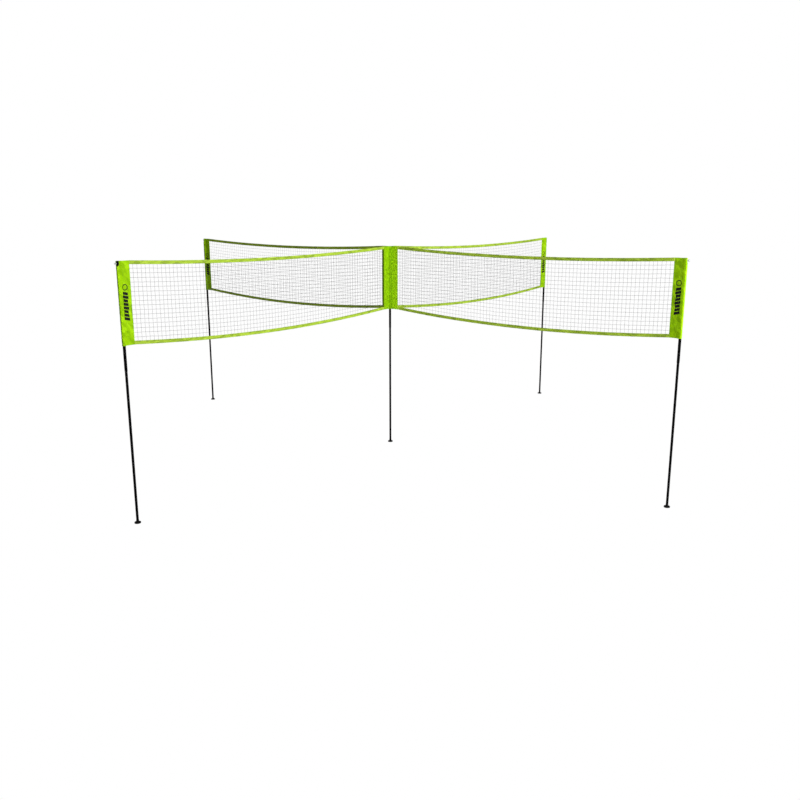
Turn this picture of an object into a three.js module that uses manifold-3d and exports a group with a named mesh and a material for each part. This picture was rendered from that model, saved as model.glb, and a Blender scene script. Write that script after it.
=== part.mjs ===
// Four-way volleyball net: five telescoping poles and four net panels that meet in a cross.
// Millimetres, +Z up. The origin is on the ground under the centre pole, and the four arms
// run along +X (east), +Y (north), -X (west) and -Y (south).

import * as THREE from 'three';
import { mergeVertices } from 'three/addons/utils/BufferGeometryUtils.js';
import Module from 'manifold-3d';

const wasm = await Module();
wasm.setup();

// ---------------------------------------------------------------- driving dimensions

const NET_TOP = 2430; // net's top edge at the poles, and the top of the poles
const ARM_LENGTH = 3615; // centre pole's axis to an outer pole's axis
const FIT_GAP = 0.3; // gap between two pieces that touch

// Poles
const SECTION_JOINT_Z = 880; // where the lower tube ends and the middle tube's shoulder rests
const UPPER_BOTTOM = 1450; // lower end of the upper tube at full height
const TELESCOPE_OVERLAP = 250; // middle tube inside the upper tube at full height
const UPPER_R = 13.5;
const UPPER_WALL = 1.0;
const LOWER_R = 12;
const LOWER_WALL = 1.2;
const SPIGOT_LENGTH = 80;
const SWAGE_LENGTH = 4; // bore stays narrow this far above the spigot's shoulder
const HOLE_CLEARANCE = 0.3; // round a button or a bolt

// Snap buttons
const BUTTON_DROP = 40; // below the section joint
const BUTTON_R = 3;
const BUTTON_PROUD = 3; // how far the head stands out of the tube
const BUTTON_DOME = 1.6;
const BUTTON_COLLAR_R = 4.5;
const BUTTON_COLLAR_THICKNESS = 2;
const BUTTON_COLLAR_X = 7.5; // collar's outer face, behind the spigot's wall

// Friction plugs
const PLUG_STEM = 30;
const PLUG_RING = 5; // height of a gripping ring
const PLUG_GROOVE = 5; // between the two rings
const PLUG_BEVEL = 2;

// Feet and caps
const FOOT_R = 30;
const FOOT_THICKNESS = 12;
const FOOT_EDGE = 1.2; // chamfer round the disc
const SOCKET_HEIGHT = 30;
const SOCKET_WALL = 1.4;
const SOCKET_FLARE = 0.8; // socket's wall spreads this far where it meets the disc
const SOCKET_TAPER = 0.3;
const CAP_FLANGE = 5.7;
const CAP_PLUG = 10;
const CAP_CHAMFER = 1.6;

// Eye bolts
const EYE_DROP = 23; // bolt below the top of the pole
const EYE_REACH = 27; // ring's centre from the pole's axis
const EYE_RING_R = 7;
const EYE_WIRE_R = 2;
const EYE_SHANK_R = 2.5;
const EYE_COLLAR_R = 5.5;
const EYE_COLLAR_THICKNESS = 2;

// Net
const NET_HEIGHT = 750; // height of the end bands
const TAPE_WIDTH = 34;
const TAPE_THICKNESS = 3.4;
const TOP_SAG = 47; // top tape, middle of the span
const BOTTOM_SAG = 72; // bottom tape, middle of the span
const NETTING_THICKNESS = 1;
const BAND_THICKNESS = 4;
const INNER_BAND_REACH = 120; // inner band's free edge from the centre pole's axis
const INNER_BAND_GAP = 0.8; // lets an inner band swing beside the centre sleeve
const OUTER_BAND_REACH = 110; // outer band's free edge from its pole's axis
const SLEEVE_BORE_R = 13.9; // inside the fabric sleeves round the poles
const SLEEVE_FABRIC = 1.1;
const SLEEVE_SQUARENESS = 4; // 2 would make an outer sleeve's section round
const SLEEVE_SEAM = 34; // where an outer sleeve's two sides are sewn together
const SLEEVE_SEAM_WIDTH = 6;
const NOTCH_DEPTH = 17; // cut-out for the eye bolt, on the side of the sleeve towards +Y
const NOTCH_HALF_HEIGHT = 29;
const NOTCH_DROP = 18; // cut-out's middle below the top of the net
const EYELET_R = 8; // round the bolt, on the sleeve's other side

// Fineness
const ROUND_STEPS = 16;
const SMALL_ROUND_STEPS = 12;
const SLEEVE_STEPS = 32;
const NOTCH_STEPS = 20;
const RING_STEPS = 20;
const WIRE_STEPS = 8;
const SAG_STEPS = 20;

// ---------------------------------------------------------------- materials

const poleMaterial = new THREE.MeshStandardMaterial({ color: 0x0d0d0e, roughness: 0.42, metalness: 0.5 });
const rubberMaterial = new THREE.MeshStandardMaterial({ color: 0x101010, roughness: 0.85, metalness: 0 });
const capMaterial = new THREE.MeshStandardMaterial({ color: 0x151515, roughness: 0.6, metalness: 0 });
const nylonMaterial = new THREE.MeshStandardMaterial({ color: 0xdcdcd6, roughness: 0.55, metalness: 0 });
const steelMaterial = new THREE.MeshStandardMaterial({ color: 0xb4b8bc, roughness: 0.32, metalness: 1 });
const nettingMaterial = new THREE.MeshStandardMaterial({ color: 0x2b2b2b, roughness: 0.8, metalness: 0 });
const tapeMaterial = new THREE.MeshStandardMaterial({ color: 0x86b80f, roughness: 0.78, metalness: 0 });
const bandMaterial = new THREE.MeshStandardMaterial({ color: 0x9ad414, roughness: 0.74, metalness: 0 });

// ---------------------------------------------------------------- helpers

// A solid of revolution about Z. The profile lists [radius, height] pairs anticlockwise.
function turned(profile, steps = ROUND_STEPS) {
  const points = profile.map(([radius, height]) => new THREE.Vector2(radius, height));
  const geometry = new THREE.LatheGeometry(points, steps);
  geometry.rotateX(Math.PI / 2);
  return geometry;
}

function tube(outerR, innerR, zLow, zHigh) {
  return turned([
    [innerR, zLow],
    [outerR, zLow],
    [outerR, zHigh],
    [innerR, zHigh],
    [innerR, zLow],
  ]);
}

// A round bar along +X at height z.
function barAlongX(radius, xLow, xHigh, z, steps = SMALL_ROUND_STEPS) {
  const geometry = new THREE.CylinderGeometry(radius, radius, xHigh - xLow, steps);
  geometry.rotateZ(-Math.PI / 2);
  geometry.translate((xLow + xHigh) / 2, 0, z);
  return geometry;
}

function toSolid(geometry) {
  const bare = geometry.clone();
  bare.deleteAttribute('normal');
  bare.deleteAttribute('uv');
  const merged = mergeVertices(bare);
  const vertProperties = new Float32Array(merged.attributes.position.array);
  const triVerts = new Uint32Array(merged.index.array);
  return new wasm.Manifold(new wasm.Mesh({ numProp: 3, vertProperties, triVerts }));
}

function toGeometry(solid) {
  const mesh = solid.getMesh();
  const geometry = new THREE.BufferGeometry();
  geometry.setAttribute('position', new THREE.BufferAttribute(mesh.vertProperties, 3));
  geometry.setIndex(new THREE.BufferAttribute(mesh.triVerts, 1));
  geometry.computeVertexNormals();
  return geometry;
}

function cut(geometry, ...tools) {
  return toGeometry(tools.reduce((solid, tool) => solid.subtract(toSolid(tool)), toSolid(geometry)));
}

function join(geometry, ...others) {
  return toGeometry(others.reduce((solid, other) => solid.add(toSolid(other)), toSolid(geometry)));
}

function piece(name, geometry, material) {
  const mesh = new THREE.Mesh(geometry, material);
  mesh.name = name;
  return mesh;
}

// ---------------------------------------------------------------- pole pieces

const middleTop = UPPER_BOTTOM + TELESCOPE_OVERLAP;
const upperTop = NET_TOP - CAP_FLANGE - FIT_GAP;
const lowerBoreR = LOWER_R - LOWER_WALL;
const upperBoreR = UPPER_R - UPPER_WALL;
const spigotR = lowerBoreR - FIT_GAP;
const spigotBoreR = spigotR - LOWER_WALL;
const buttonZ = SECTION_JOINT_Z - BUTTON_DROP;
const eyeZ = NET_TOP - EYE_DROP;

// A disc that rests on the ground, with a socket for the lower tube.
function footGeometry() {
  const socketR = LOWER_R + FIT_GAP;
  const wallR = socketR + SOCKET_WALL;
  return turned([
    [0, 0],
    [FOOT_R - FOOT_EDGE, 0],
    [FOOT_R, FOOT_EDGE],
    [FOOT_R, FOOT_THICKNESS - FOOT_EDGE],
    [FOOT_R - FOOT_EDGE, FOOT_THICKNESS],
    [wallR + SOCKET_FLARE, FOOT_THICKNESS + SOCKET_FLARE / 2],
    [wallR, FOOT_THICKNESS + 2 * SOCKET_FLARE],
    [wallR - SOCKET_TAPER, SOCKET_HEIGHT],
    [socketR, SOCKET_HEIGHT],
    [socketR, FOOT_THICKNESS],
    [0, FOOT_THICKNESS],
  ]);
}

function buttonHole() {
  return barAlongX(BUTTON_R + HOLE_CLEARANCE, spigotBoreR / 2, LOWER_R + BUTTON_PROUD, buttonZ);
}

function lowerTubeGeometry() {
  return cut(tube(LOWER_R, lowerBoreR, FOOT_THICKNESS + FIT_GAP, SECTION_JOINT_Z), buttonHole());
}

// The middle tube is swaged down at its lower end to a spigot that enters the lower tube.
function middleTubeGeometry() {
  const shoulderZ = SECTION_JOINT_Z + FIT_GAP;
  const boreStepZ = shoulderZ + SWAGE_LENGTH;
  const spigotZ = SECTION_JOINT_Z - SPIGOT_LENGTH;
  const body = turned([
    [spigotBoreR, spigotZ],
    [spigotR, spigotZ],
    [spigotR, shoulderZ],
    [LOWER_R, shoulderZ],
    [LOWER_R, middleTop],
    [lowerBoreR, middleTop],
    [lowerBoreR, boreStepZ],
    [spigotBoreR, boreStepZ],
    [spigotBoreR, spigotZ],
  ]);
  return cut(body, buttonHole());
}

// The button's collar sits behind the spigot's wall, and its domed head stands out of the lower tube.
function buttonGeometry() {
  const headX = LOWER_R + BUTTON_PROUD;
  const backX = BUTTON_COLLAR_X - BUTTON_COLLAR_THICKNESS;
  const geometry = turned([
    [0, backX],
    [BUTTON_COLLAR_R, backX],
    [BUTTON_COLLAR_R, BUTTON_COLLAR_X],
    [BUTTON_R, BUTTON_COLLAR_X],
    [BUTTON_R, headX - BUTTON_DOME],
    [BUTTON_R * Math.SQRT1_2, headX - BUTTON_DOME * (1 - Math.SQRT1_2)],
    [0, headX],
  ], SMALL_ROUND_STEPS);
  geometry.rotateY(Math.PI / 2);
  geometry.translate(0, 0, buttonZ);
  return geometry;
}

// Two gripping rings run in the upper tube's bore, over a stem held in the middle tube.
function frictionPlugGeometry() {
  const ringR = upperBoreR - FIT_GAP;
  const stemR = lowerBoreR - FIT_GAP;
  const seatZ = middleTop + FIT_GAP;
  const grooveZ = seatZ + PLUG_RING;
  const secondRingZ = grooveZ + PLUG_GROOVE;
  const secondRingTop = secondRingZ + PLUG_RING;
  return turned([
    [0, middleTop - PLUG_STEM],
    [stemR, middleTop - PLUG_STEM],
    [stemR, seatZ],
    [ringR, seatZ],
    [ringR, grooveZ],
    [stemR, grooveZ],
    [stemR, secondRingZ],
    [ringR, secondRingZ],
    [ringR, secondRingTop],
    [ringR - PLUG_BEVEL, secondRingTop + PLUG_BEVEL],
    [0, secondRingTop + PLUG_BEVEL],
  ]);
}

function upperTubeGeometry(hasEye) {
  const plain = tube(UPPER_R, upperBoreR, UPPER_BOTTOM, upperTop);
  if (!hasEye) {
    return plain;
  }
  return cut(plain, barAlongX(EYE_SHANK_R + HOLE_CLEARANCE, UPPER_R / 2, EYE_REACH, eyeZ));
}

function topCapGeometry() {
  const plugR = upperBoreR - FIT_GAP;
  const flangeZ = upperTop + FIT_GAP;
  return turned([
    [0, upperTop - CAP_PLUG],
    [plugR, upperTop - CAP_PLUG],
    [plugR, flangeZ],
    [UPPER_R, flangeZ],
    [UPPER_R, NET_TOP - CAP_CHAMFER],
    [UPPER_R - CAP_CHAMFER, NET_TOP],
    [0, NET_TOP],
  ]);
}

function eyeBoltGeometry() {
  const collarX = UPPER_R + FIT_GAP;
  const shank = barAlongX(EYE_SHANK_R, UPPER_R / 2, EYE_REACH - EYE_RING_R, eyeZ);
  const collar = barAlongX(EYE_COLLAR_R, collarX, collarX + EYE_COLLAR_THICKNESS, eyeZ);
  const ring = new THREE.TorusGeometry(EYE_RING_R, EYE_WIRE_R, WIRE_STEPS, RING_STEPS);
  ring.rotateX(Math.PI / 2);
  ring.translate(EYE_REACH, 0, eyeZ);
  return join(shank, collar, ring);
}

// One whole pole about its own axis. Outward is +X.
function pole(prefix, hasEye) {
  const group = new THREE.Group();
  group.add(
    piece(`${prefix}_foot`, footGeometry(), rubberMaterial),
    piece(`${prefix}_lower_tube`, lowerTubeGeometry(), poleMaterial),
    piece(`${prefix}_snap_button`, buttonGeometry(), steelMaterial),
    piece(`${prefix}_middle_tube`, middleTubeGeometry(), poleMaterial),
    piece(`${prefix}_friction_plug`, frictionPlugGeometry(), nylonMaterial),
    piece(`${prefix}_upper_tube`, upperTubeGeometry(hasEye), poleMaterial),
    piece(`${prefix}_top_cap`, topCapGeometry(), capMaterial),
  );
  if (hasEye) {
    group.add(piece(`${prefix}_eye_bolt`, eyeBoltGeometry(), steelMaterial));
  }
  return group;
}

// ---------------------------------------------------------------- net pieces

const netBottom = NET_TOP - NET_HEIGHT;
const spanStart = INNER_BAND_REACH + FIT_GAP;
const spanEnd = ARM_LENGTH - OUTER_BAND_REACH - FIT_GAP;

// An upright strip along the arm whose lower and upper edges hang in parabolas.
function hangingStrip(lowEnd, lowSag, highEnd, highSag, thickness) {
  const spanMiddle = (spanStart + spanEnd) / 2;
  const outline = new THREE.Shape();
  outline.moveTo(spanStart, lowEnd);
  outline.quadraticCurveTo(spanMiddle, lowEnd - 2 * lowSag, spanEnd, lowEnd);
  outline.lineTo(spanEnd, highEnd);
  outline.quadraticCurveTo(spanMiddle, highEnd - 2 * highSag, spanStart, highEnd);
  outline.closePath();
  const geometry = new THREE.ExtrudeGeometry(outline, {
    depth: thickness,
    bevelEnabled: false,
    curveSegments: SAG_STEPS,
  });
  geometry.rotateX(Math.PI / 2);
  geometry.translate(0, thickness / 2, 0);
  return geometry;
}

function topTapeGeometry() {
  return hangingStrip(NET_TOP - TAPE_WIDTH, TOP_SAG, NET_TOP, TOP_SAG, TAPE_THICKNESS);
}

function bottomTapeGeometry() {
  return hangingStrip(netBottom, BOTTOM_SAG, netBottom + TAPE_WIDTH, BOTTOM_SAG, TAPE_THICKNESS);
}

function nettingGeometry() {
  const lowEnd = netBottom + TAPE_WIDTH + FIT_GAP;
  const highEnd = NET_TOP - TAPE_WIDTH - FIT_GAP;
  return hangingStrip(lowEnd, BOTTOM_SAG, highEnd, TOP_SAG, NETTING_THICKNESS);
}

function innerBandGeometry() {
  const start = SLEEVE_BORE_R + SLEEVE_FABRIC + INNER_BAND_GAP;
  const length = INNER_BAND_REACH - start;
  const geometry = new THREE.BoxGeometry(length, BAND_THICKNESS, NET_HEIGHT);
  geometry.translate(start + length / 2, 0, netBottom + NET_HEIGHT / 2);
  return geometry;
}

// Points round a sleeve's section, a square with well-rounded corners. It is open towards -X,
// where its sides run straight to the seam.
function sleeveSection(halfWidth, seamX) {
  const side = [];
  for (let i = 0; i <= SLEEVE_STEPS; i += 1) {
    const angle = Math.PI * i / SLEEVE_STEPS;
    const x = Math.cos(angle);
    const y = Math.sin(angle);
    const corner = Math.abs(x) ** SLEEVE_SQUARENESS + y ** SLEEVE_SQUARENESS;
    const reach = halfWidth / corner ** (1 / SLEEVE_SQUARENESS);
    side.push(new THREE.Vector2(reach * x, reach * y));
  }
  const slopes = side.map((point) => point.y / (point.x + seamX));
  const lastKept = slopes.indexOf(Math.max(...slopes));
  const kept = side.slice(0, lastKept + 1);
  const mirrored = kept.slice(1).reverse().map((point) => new THREE.Vector2(point.x, -point.y));
  return [...mirrored, ...kept];
}

// The outer band is a flat double layer that opens into a sleeve round its pole.
function outerBandGeometry() {
  const outerR = SLEEVE_BORE_R + SLEEVE_FABRIC;
  const half = BAND_THICKNESS / 2;
  const boreSeam = SLEEVE_SEAM - SLEEVE_SEAM_WIDTH;

  const outline = new THREE.Shape([
    new THREE.Vector2(-OUTER_BAND_REACH, half),
    new THREE.Vector2(-OUTER_BAND_REACH, -half),
    new THREE.Vector2(-SLEEVE_SEAM, -half),
    ...sleeveSection(outerR, SLEEVE_SEAM),
    new THREE.Vector2(-SLEEVE_SEAM, half),
  ]);
  outline.holes.push(new THREE.Path([
    new THREE.Vector2(-boreSeam, 0),
    ...sleeveSection(SLEEVE_BORE_R, boreSeam),
  ]));

  const sleeve = new THREE.ExtrudeGeometry(outline, { depth: NET_HEIGHT, bevelEnabled: false });
  sleeve.translate(0, 0, netBottom);

  const length = 2 * outerR;
  const notch = new THREE.CylinderGeometry(1, 1, length, NOTCH_STEPS);
  notch.scale(NOTCH_DEPTH, 1, NOTCH_HALF_HEIGHT);
  notch.translate(outerR, length / 2, NET_TOP - NOTCH_DROP);
  const eyelet = barAlongX(EYELET_R, outerR / 2, 2 * outerR, eyeZ, NOTCH_STEPS);
  return cut(sleeve, notch, eyelet);
}

// One arm along +X: the net panel and its outer pole.
function arm(prefix) {
  const group = new THREE.Group();
  group.add(
    piece(`${prefix}_netting`, nettingGeometry(), nettingMaterial),
    piece(`${prefix}_top_tape`, topTapeGeometry(), tapeMaterial),
    piece(`${prefix}_bottom_tape`, bottomTapeGeometry(), tapeMaterial),
    piece(`${prefix}_inner_band`, innerBandGeometry(), bandMaterial),
  );
  const outerBand = piece(`${prefix}_outer_band`, outerBandGeometry(), bandMaterial);
  outerBand.position.x = ARM_LENGTH;
  const outerPole = pole(prefix, true);
  outerPole.position.x = ARM_LENGTH;
  group.add(outerBand, outerPole);
  return group;
}

// ---------------------------------------------------------------- whole object

const object = new THREE.Group();

object.add(pole('centre', false));
object.add(piece(
  'centre_sleeve',
  tube(SLEEVE_BORE_R + SLEEVE_FABRIC, SLEEVE_BORE_R, netBottom, NET_TOP),
  bandMaterial,
));

['east', 'north', 'west', 'south'].forEach((prefix, quarterTurns) => {
  const group = arm(prefix);
  group.rotation.z = quarterTurns * Math.PI / 2;
  object.add(group);
});

export default object;
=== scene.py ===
"""Looks of the four-way volleyball net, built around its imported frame.

Metres, +Z up, in the frame's own axes. Everything on an arm is made for the east arm, along +X,
and then turned by quarter turns to its own arm.
"""

import math
from collections import namedtuple

import bmesh
import bpy
import numpy as np
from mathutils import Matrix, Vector


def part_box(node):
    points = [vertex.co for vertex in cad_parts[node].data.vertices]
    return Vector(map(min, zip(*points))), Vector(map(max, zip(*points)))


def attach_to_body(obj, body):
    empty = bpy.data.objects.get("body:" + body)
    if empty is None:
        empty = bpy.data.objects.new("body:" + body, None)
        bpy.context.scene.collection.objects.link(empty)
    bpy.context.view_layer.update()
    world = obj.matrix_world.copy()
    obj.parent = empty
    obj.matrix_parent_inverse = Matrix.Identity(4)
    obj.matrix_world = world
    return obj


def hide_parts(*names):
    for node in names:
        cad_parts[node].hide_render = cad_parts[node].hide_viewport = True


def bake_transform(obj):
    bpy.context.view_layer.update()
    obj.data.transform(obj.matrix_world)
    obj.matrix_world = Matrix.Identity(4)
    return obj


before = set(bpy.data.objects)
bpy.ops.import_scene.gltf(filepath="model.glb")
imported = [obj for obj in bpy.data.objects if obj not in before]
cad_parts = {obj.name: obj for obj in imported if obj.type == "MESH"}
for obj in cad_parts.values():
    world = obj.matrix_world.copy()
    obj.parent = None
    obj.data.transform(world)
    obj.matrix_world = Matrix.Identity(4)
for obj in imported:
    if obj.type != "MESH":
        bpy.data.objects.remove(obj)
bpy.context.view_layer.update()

MM = 0.001
ARMS = ["east", "north", "west", "south"]

# ---- sizes read from the frame


def low_of(node):
    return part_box(node)[0]


def high_of(node):
    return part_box(node)[1]


NET_TOP = high_of("east_outer_band").z
NET_BOTTOM = low_of("east_outer_band").z
ARM_LENGTH = (low_of("east_foot").x + high_of("east_foot").x) / 2
TAPE_WIDTH = high_of("east_bottom_tape").z - NET_BOTTOM
BOTTOM_SAG = NET_BOTTOM - low_of("east_bottom_tape").z
TOP_SAG = NET_TOP - TAPE_WIDTH - low_of("east_top_tape").z
SPAN_START = low_of("east_top_tape").x
SPAN_END = high_of("east_top_tape").x
SPAN = SPAN_END - SPAN_START
TAPE_HALF = high_of("east_top_tape").y
BAND_HALF = high_of("east_inner_band").y
INNER_REACH = high_of("east_inner_band").x
OUTER_REACH = ARM_LENGTH - low_of("east_outer_band").x
SLEEVE_R = high_of("east_outer_band").x - ARM_LENGTH
UPPER_R = high_of("centre_upper_tube").y
UPPER_BOTTOM = low_of("centre_upper_tube").z
UPPER_TOP = high_of("centre_upper_tube").z
LOWER_R = high_of("centre_lower_tube").y
LOWER_BOTTOM = low_of("centre_lower_tube").z
SECTION_JOINT = high_of("centre_lower_tube").z
SPIGOT_BOTTOM = low_of("centre_middle_tube").z
MIDDLE_TOP = high_of("centre_middle_tube").z
BUTTON_Z = (low_of("centre_snap_button").z + high_of("centre_snap_button").z) / 2
BUTTON_TIP = high_of("centre_snap_button").x
FOOT_R = high_of("centre_foot").x
FOOT_TOP = high_of("centre_foot").z
CAP_BOTTOM = low_of("centre_top_cap").z
EYE_Z = (low_of("east_eye_bolt").z + high_of("east_eye_bolt").z) / 2
EYE_TIP = high_of("east_eye_bolt").x - ARM_LENGTH
EYE_OUTER_R = high_of("east_eye_bolt").z - EYE_Z

# ---- sizes of what only shows here

FABRIC = 0.8 * MM
BAND_THREAD = 0.9 * MM  # one over-and-under of the bands' weave
TAPE_THREAD = 1.4 * MM
SEWN_IN = 8 * MM  # tape and netting run this far into a band
INNER_EDGE_SHIFT = (3 * MM, -10 * MM)  # the free edges of the east and west, north and south bands
SHIFT_END = 0.7  # the panel takes up that shift between its band and here
HEM = 13 * MM
HEM_RISE = 0.5 * MM
HEM_ROWS = np.array([0, 0.8, 2, 5, 9, 12, 13, 14, 16]) * MM  # rows of points, from a band's edge
PLAIN_START = 24 * MM  # from a band's edge to the first of its evenly spaced rows

SLEEVE_SQUARENESS = 4  # 2 would make an outer sleeve's section round
SLEEVE_SEAM = 34 * MM  # where an outer sleeve's sides are sewn together, from the pole's axis
NOTCH_DEPTH = 17 * MM
NOTCH_HALF_HEIGHT = 29 * MM
NOTCH_MIDDLE = NET_TOP - 18 * MM
EYELET_R = 8 * MM

MESH_PITCH = 42 * MM
MESH_ROWS = 17
SELVEDGE = 6 * MM  # netting's first row lies this far inside a tape's edge
TWINE_HALF_WIDTH = 0.95 * MM
TWINE_HALF_DEPTH = 0.55 * MM
KNOT_R = (1.5 * MM, 1 * MM, 1.6 * MM)

STITCH = 4.6 * MM
STITCH_STEP = 7.5 * MM
THREAD_R = 0.38 * MM

UPPER_WALL = 1 * MM
MIDDLE_WALL = 1.1 * MM
LOWER_WALL = 1.2 * MM
TUBE_EDGE = 0.35 * MM  # the rounding of a tube's end edges
SLIDING_GAP = 0.3 * MM
HOLE_CLEARANCE = 0.3 * MM
BUTTON_R = 3 * MM
COLLAR_R = 4.5 * MM  # the collar that keeps a snap button in its tube
COLLAR_FACE = 7.5 * MM
COLLAR_DEPTH = 2 * MM
BUTTON_DOME = 1.6 * MM
FOOT_DISC = 12 * MM
SOCKET_R = LOWER_R + 0.25 * MM
SOCKET_OUTER_R = SOCKET_R + 1.45 * MM
GUSSETS = 8
GUSSET_HALF = 1.1 * MM
EYE_WIRE_R = 2 * MM
SHANK_CREST_R = 2.5 * MM
SHANK_ROOT_R = 2.15 * MM
SHANK_NECK_R = 2.9 * MM
SHANK_PITCH = 0.8 * MM

# ---- mesh helpers

# A shape is a pair: its points, as an (n, 3) array, and its faces, as a list of index tuples.


def joined(shapes):
    points = []
    faces = []
    count = 0
    for shape_points, shape_faces in shapes:
        points.append(shape_points)
        faces.extend(tuple(i + count for i in face) for face in shape_faces)
        count += len(shape_points)
    return np.concatenate(points), faces


def grid_of(x, y, z):
    """Points from their coordinates, which are spread over one another's rows and columns."""
    return np.stack(np.broadcast_arrays(x, y, z), axis=-1)


def copied_faces(faces, points, times):
    """The faces of many copies of a shape, whose points follow one another."""
    return [tuple(i + n * points for i in face) for n in range(times) for face in faces]


def grid_faces(rows, columns, wrap_rows=False, wrap_columns=False):
    """Quads over a grid of rows x columns points, numbered row by row."""
    faces = []
    for i in range(rows if wrap_rows else rows - 1):
        for j in range(columns if wrap_columns else columns - 1):
            i2 = (i + 1) % rows
            j2 = (j + 1) % columns
            faces.append((i * columns + j, i2 * columns + j, i2 * columns + j2, i * columns + j2))
    return faces


def bar_faces(rows, columns):
    """The faces of a closed bar: a ring of columns points in each row, and two flat ends."""
    count = rows * columns
    ends = [tuple(range(columns)), tuple(range(count - columns, count))]
    return grid_faces(rows, columns, wrap_columns=True) + ends


def full_turn(steps):
    return np.arange(steps) * 2 * math.pi / steps


def turned(profile, steps=48):
    """A solid of revolution about Z. The profile lists (radius, height) pairs, from axis to axis,
    or as a closed ring if its first radius isn't 0."""
    hollow = profile[0][0] > 0
    ring = np.array(profile if hollow else profile[1:-1])
    angles = full_turn(steps)
    radii, heights = ring[:, :1], ring[:, 1:]
    points = grid_of(radii * np.cos(angles), radii * np.sin(angles), heights).reshape(-1, 3)
    faces = grid_faces(len(ring), steps, wrap_rows=hollow, wrap_columns=True)
    if not hollow:
        start = len(points)
        ends = np.array([[0, 0, profile[0][1]], [0, 0, profile[-1][1]]])
        points = np.concatenate([points, ends])
        last = (len(ring) - 1) * steps
        for i in range(steps):
            i2 = (i + 1) % steps
            faces.append((start, i2, i))
            faces.append((start + 1, last + i, last + i2))
    return points, faces


def in_mm(profile):
    """A profile that is given in millimetres, in metres."""
    return [(radius * MM, height * MM) for radius, height in profile]


def turned_along_x(profile, z, steps=32):
    """A solid of revolution about a line along +X at height z. The profile gives (radius, x)."""
    points, faces = turned(profile, steps)
    return np.stack([points[:, 2], points[:, 1], points[:, 0] + z], axis=1), faces


def rounded_tube(outer, inner, low, high):
    """A tube's closed profile with its end edges rounded off."""
    edge = TUBE_EDGE
    return [
        (inner + edge / 2, low), (outer - edge, low), (outer - edge * 0.3, low + edge * 0.3),
        (outer, low + edge), (outer, high - edge), (outer - edge * 0.3, high - edge * 0.3),
        (outer - edge, high), (inner + edge / 2, high), (inner, high - edge / 2),
        (inner, low + edge / 2),
    ]


def swept(path, section, across, up):
    """A closed section, as (a, b) pairs, carried along path without turning, with flat ends.
    across and up are the section's two directions."""
    ring = np.array([a * np.array(across) + b * np.array(up) for a, b in section])
    points = (path[:, None, :] + ring[None, :, :]).reshape(-1, 3)
    return points, bar_faces(len(path), len(section))


def oval(half_width, half_height, sides):
    angles = full_turn(sides)
    return list(zip(half_width * np.cos(angles), half_height * np.sin(angles)))


def ball(radii, sides=6, rings=4):
    """A small closed ellipsoid about the origin."""
    angles = [math.pi * i / rings for i in range(rings + 1)]
    profile = [(math.sin(angle), -radii[2] * math.cos(angle)) for angle in angles]
    points, faces = turned(profile, sides)
    return points * np.array([radii[0], radii[1], 1]), faces


def copies(shape, places):
    """The same shape at many places."""
    points, faces = shape
    all_points = (places[:, None, :] + points[None, :, :]).reshape(-1, 3)
    return all_points, copied_faces(faces, len(points), len(places))


def moved_out(shape, distance):
    points, faces = shape
    return points + np.array([distance, 0, 0]), faces


def ripples(along, up, wavelength, seed, tilt=math.pi, waves=7):
    """Smooth uneven ripples, mostly between -1 and 1, the same for the same seed. A small tilt
    keeps them running along, so that they change mostly upwards."""
    rng = np.random.default_rng(seed)
    total = np.zeros(np.broadcast(along, up).shape)
    for _ in range(waves):
        angle = math.pi / 2 + rng.uniform(-tilt / 2, tilt / 2)
        length = wavelength * rng.uniform(0.65, 1.7)
        phase = rng.uniform(0, 2 * math.pi)
        run = along * math.cos(angle) + up * math.sin(angle)
        total = total + np.sin(2 * math.pi * run / length + phase)
    return total / math.sqrt(waves)


def smoothstep(value, start, end):
    t = np.clip((value - start) / (end - start), 0, 1)
    return t * t * (3 - 2 * t)


def quarter_turned(points, quarters):
    """Points made for the east arm, moved to another arm."""
    angle = quarters * math.pi / 2
    c = round(math.cos(angle))
    s = round(math.sin(angle))
    turn = np.array([[c, -s, 0], [s, c, 0], [0, 0, 1]], float)
    return points @ turn.T


def new_object(name, data):
    thing = bpy.data.objects.new(name, data)
    bpy.context.scene.collection.objects.link(thing)
    return thing


def make_piece(name, shape, material, quarters=0, crease=None):
    """A mesh object with its faces pointing out, shaded smooth up to the crease angle."""
    points, faces = shape
    mesh = bpy.data.meshes.new(name)
    mesh.from_pydata(quarter_turned(points, quarters).tolist(), [], faces)
    edit = bmesh.new()
    edit.from_mesh(mesh)
    bmesh.ops.recalc_face_normals(edit, faces=edit.faces)
    for face in edit.faces:
        face.smooth = True
    if crease is not None:
        for edge in edit.edges:
            edge.smooth = len(edge.link_faces) == 2 and edge.calc_face_angle(0) < crease
    edit.to_mesh(mesh)
    edit.free()
    mesh.materials.append(material)
    return new_object(name, mesh)


def drilled(thing, cutter, quarters):
    """Cuts a shape out of a piece."""
    tool = make_piece(thing.name + "_drill", cutter, thing.data.materials[0], quarters)
    cut = thing.modifiers.new("cut", "BOOLEAN")
    cut.operation = "DIFFERENCE"
    cut.solver = "EXACT"
    cut.object = tool
    graph = bpy.context.evaluated_depsgraph_get()
    mesh = bpy.data.meshes.new_from_object(thing.evaluated_get(graph))
    thing.modifiers.clear()
    thing.data = mesh
    bpy.data.objects.remove(tool)


# ---- material helpers


def srgb(red, green, blue):
    """A screen colour, 0 to 255, as linear light."""
    def linear(value):
        share = value / 255
        return share / 12.92 if share <= 0.04045 else ((share + 0.055) / 1.055) ** 2.4
    return (linear(red), linear(green), linear(blue), 1)


def set_values(node, values):
    for socket, value in values.items():
        node.inputs[socket].default_value = value


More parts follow.
